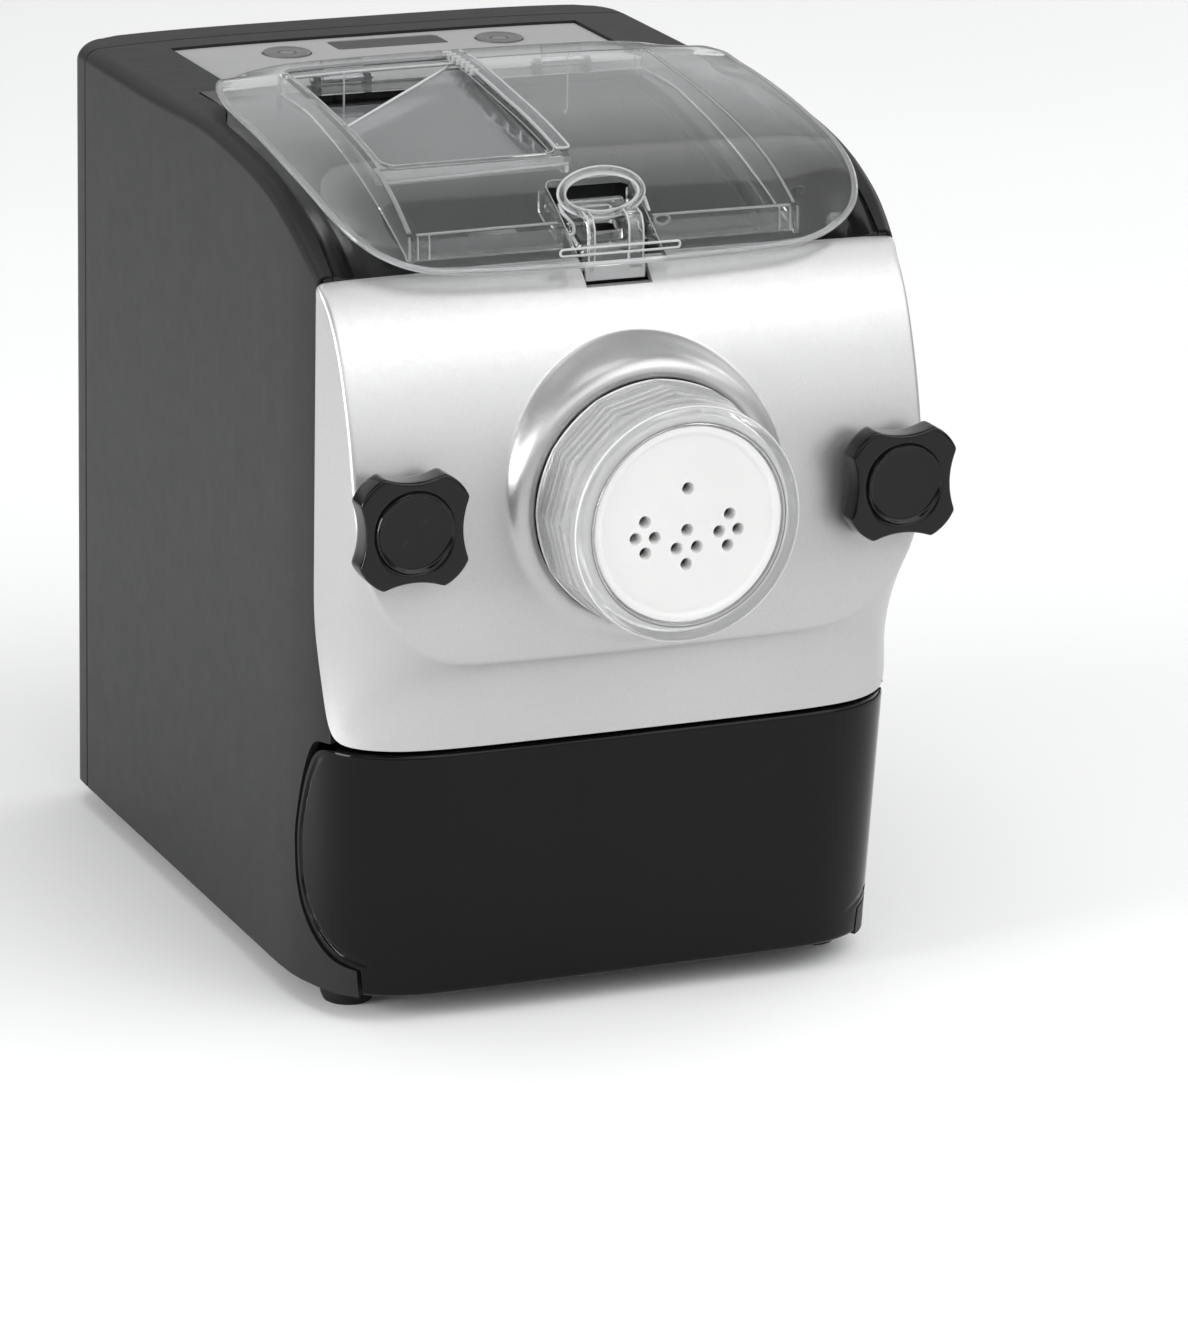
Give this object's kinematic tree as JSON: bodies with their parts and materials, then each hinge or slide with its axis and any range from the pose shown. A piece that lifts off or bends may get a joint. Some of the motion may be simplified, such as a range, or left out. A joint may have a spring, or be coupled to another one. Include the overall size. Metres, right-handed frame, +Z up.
{
  "type": "electric pasta maker",
  "caption": "Countertop appliance that mixes dough under a clear hinged lid and presses it through a die behind a clear screw ring, with screw knobs, a drawer and push buttons.",
  "frame": {"origin": "middle of the object's bounding box, on the surface that the feet stand on", "axes": "+Z up; +X to the right of a person who faces the nozzle; -Y out of the nozzle towards that person, +Y towards the rear cover"},
  "size_m": [0.2118, 0.3222, 0.2908],
  "materials": {
    "casing_grey": "fine satin grain, dark grey",
    "gloss_black": "polished black",
    "silver_paint": "satin silver metallic paint",
    "plate_grey": "smooth matt light grey",
    "button_grey": "satin grey",
    "window_dark": "smoked display window",
    "clear_plastic": "clear moulded plastic with polished faces",
    "white_plastic": "food-grade white",
    "die_white": "slightly translucent white",
    "gear_plastic": "natural gear plastic",
    "inner_dark": "unpolished black",
    "feet_rubber": "matt black rubber",
    "steel": "turned and zinc-plated",
    "bronze": "turned",
    "board_green": "solder-mask green"
  },
  "bodies": {
    "casing": {"housing_shell": "casing_grey", "rear_cover": "casing_grey", "power_inlet": "inner_dark", "cover_screw_1": "steel", "cover_screw_2": "steel", "cover_screw_3": "steel", "cover_screw_4": "steel", "base_plate": "inner_dark", "foot_front_left": "feet_rubber", "foot_front_right": "feet_rubber", "foot_rear_left": "feet_rubber", "foot_rear_right": "feet_rubber", "bowl_surround": "gloss_black", "lid_switch": "inner_dark", "control_plate": "plate_grey", "display_window": "window_dark", "control_board": "board_green", "power_switch": "inner_dark", "program_switch": "inner_dark", "power_board": "board_green", "mixing_bowl": "clear_plastic", "front_frame": "inner_dark", "panel_stud_left": "steel", "panel_stud_right": "steel", "drawer_bay": "inner_dark", "gearbox_case": "inner_dark", "gearbox_cover": "inner_dark", "intermediate_pin": "steel", "shaft_bearing": "bronze", "shaft_seal": "feet_rubber", "motor_can": "steel", "motor_end_cap": "inner_dark"},
    "motor_shaft": {"motor_rotor": "steel", "motor_pinion": "steel", "cooling_fan": "inner_dark"},
    "intermediate": {"intermediate_gear": "gear_plastic"},
    "screw_drive": {"output_gear": "gear_plastic", "output_shaft": "steel", "mixing_screw": "white_plastic"},
    "lid": {"lid": "clear_plastic", "hinge_pin_left": "steel", "hinge_pin_right": "steel"},
    "latch": {"lid_latch": "clear_plastic"},
    "power_button": {"power_button": "button_grey"},
    "program_button": {"program_button": "button_grey"},
    "front_panel": {"front_panel": "silver_paint", "panel_liner": "white_plastic", "bowl_gasket": "feet_rubber", "extrusion_barrel": "white_plastic", "barrel_seal": "feet_rubber"},
    "die": {"die_disc": "die_white"},
    "nozzle_ring": {"nozzle_ring": "clear_plastic"},
    "knob_left_travel": {"knob_washer_left": "steel"},
    "knob_left": {"knob_left": "gloss_black", "knob_insert_left": "bronze"},
    "knob_right_travel": {"knob_washer_right": "steel"},
    "knob_right": {"knob_right": "gloss_black", "knob_insert_right": "bronze"},
    "drawer": {"drawer_front": "gloss_black", "drawer_tray": "inner_dark"}
  },
  "joints": [
    {"name": "lid_hinge", "type": "hinge", "parent": "casing", "child": "lid", "pos_m": [0, 0.0493, 0.2862], "axis": [-1, 0, 0], "range_deg": [0, 85]},
    {"name": "latch_pivot", "type": "hinge", "parent": "lid", "child": "latch", "pos_m": [0, -0.0747, 0.266], "axis": [-1, 0, 0], "range_deg": [0, 12], "stiffness_Nm_per_rad": 0.05},
    {"name": "power_button_press", "type": "slide", "parent": "casing", "child": "power_button", "axis": [0, 0, -1], "range_m": [0, 0.001], "stiffness_N_per_m": 300},
    {"name": "program_button_press", "type": "slide", "parent": "casing", "child": "program_button", "axis": [0, 0, -1], "range_m": [0, 0.001], "stiffness_N_per_m": 300},
    {"name": "panel_slide", "type": "slide", "parent": "casing", "child": "front_panel", "axis": [0, -1, 0], "range_m": [0, 0.12]},
    {"name": "knob_left_slide", "type": "slide", "parent": "front_panel", "child": "knob_left_travel", "axis": [0, -1, 0], "range_m": [0, 0.01201]},
    {"name": "knob_left_turn", "type": "hinge", "parent": "knob_left_travel", "child": "knob_left", "pos_m": [-0.0872, -0.136, 0.18], "axis": [0, -1, 0], "range_deg": [0, 2880]},
    {"name": "knob_right_slide", "type": "slide", "parent": "front_panel", "child": "knob_right_travel", "axis": [0, -1, 0], "range_m": [0, 0.01201]},
    {"name": "knob_right_turn", "type": "hinge", "parent": "knob_right_travel", "child": "knob_right", "pos_m": [0.0872, -0.136, 0.18], "axis": [0, -1, 0], "range_deg": [0, 2880]},
    {"name": "die_slide", "type": "slide", "parent": "front_panel", "child": "die", "axis": [0, -1, 0], "range_m": [0, 0.00801]},
    {"name": "ring_turn", "type": "hinge", "parent": "die", "child": "nozzle_ring", "pos_m": [0, -0.145, 0.18], "axis": [0, -1, 0], "range_deg": [0, 720]},
    {"name": "drawer_slide", "type": "slide", "parent": "casing", "child": "drawer", "axis": [0, -1, 0], "range_m": [0, 0.13]},
    {"name": "screw_turn", "type": "hinge", "parent": "casing", "child": "screw_drive", "pos_m": [0, 0, 0.18], "axis": [0, -1, 0], "continuous": true},
    {"name": "intermediate_turn", "type": "hinge", "parent": "casing", "child": "intermediate", "pos_m": [0, 0.06, 0.1365], "axis": [0, -1, 0], "continuous": true},
    {"name": "motor_turn", "type": "hinge", "parent": "casing", "child": "motor_shaft", "pos_m": [0, 0.1, 0.091], "axis": [0, -1, 0], "continuous": true}
  ],
  "couplings": [
    {"joint": "knob_left_slide", "follows": "knob_left_turn", "m_per_rad": 0.00023873},
    {"joint": "knob_right_slide", "follows": "knob_right_turn", "m_per_rad": 0.00023873},
    {"joint": "die_slide", "follows": "ring_turn", "m_per_rad": 0.00063662},
    {"joint": "intermediate_turn", "follows": "screw_turn", "ratio": -2.9091},
    {"joint": "motor_turn", "follows": "screw_turn", "ratio": 11.636}
  ]
}
